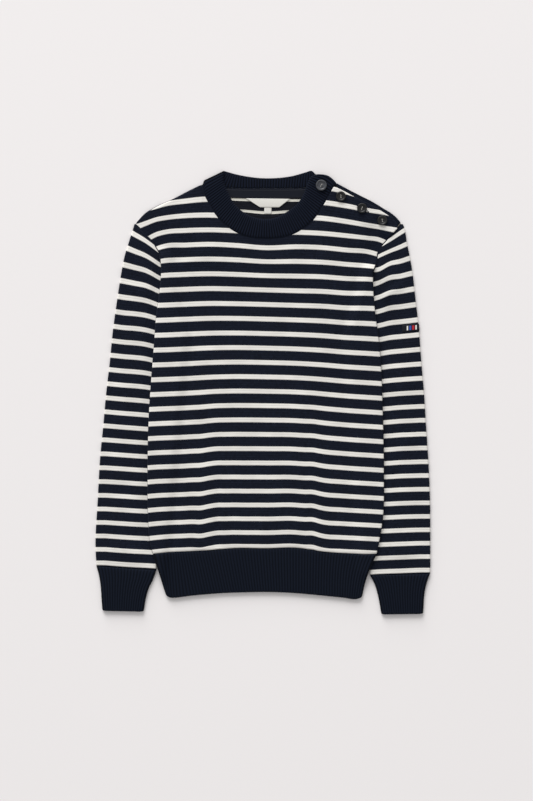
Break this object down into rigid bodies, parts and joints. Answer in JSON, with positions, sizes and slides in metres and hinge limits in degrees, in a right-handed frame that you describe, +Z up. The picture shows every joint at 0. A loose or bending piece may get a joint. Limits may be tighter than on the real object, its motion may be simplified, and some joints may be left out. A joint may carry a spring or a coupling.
{
  "type": "breton sweater",
  "caption": "Striped knitted sweater laid flat, with a ribbed crew neckband that buttons along one shoulder, ribbed hem and ribbed cuffs.",
  "frame": {"origin": "on the surface that the sweater lies on, at the middle of its bounding box", "axes": "+X towards the wearer's left sleeve, +Y from the hem to the neckband, +Z up from the surface, towards the front of the sweater"},
  "size_m": [0.5356, 0.7104, 0.0113],
  "materials": {
    "striped_knit": "fine knit, navy with ecru stripes, matt",
    "rib_knit": "navy rib knit, matt",
    "button": "dark horn, satin",
    "tape": "charcoal woven tape",
    "label": "off-white woven satin",
    "sleeve_tab": "dark woven tab with colour bars"
  },
  "bodies": {
    "root": {"front": "striped_knit", "back": "striped_knit", "sleeve_right_arm": "striped_knit", "sleeve_left_arm": "striped_knit", "cuff_right_arm": "rib_knit", "cuff_left_arm": "rib_knit", "hem_front": "rib_knit", "hem_back": "rib_knit", "collar_front": "rib_knit", "collar_back": "rib_knit", "shoulder_placket": "rib_knit", "neck_tape": "tape", "neck_label": "label", "size_tab": "label", "sleeve_tab": "sleeve_tab", "button_1": "button", "button_2": "button", "button_3": "button", "button_4": "button"}
  },
  "joints": []
}
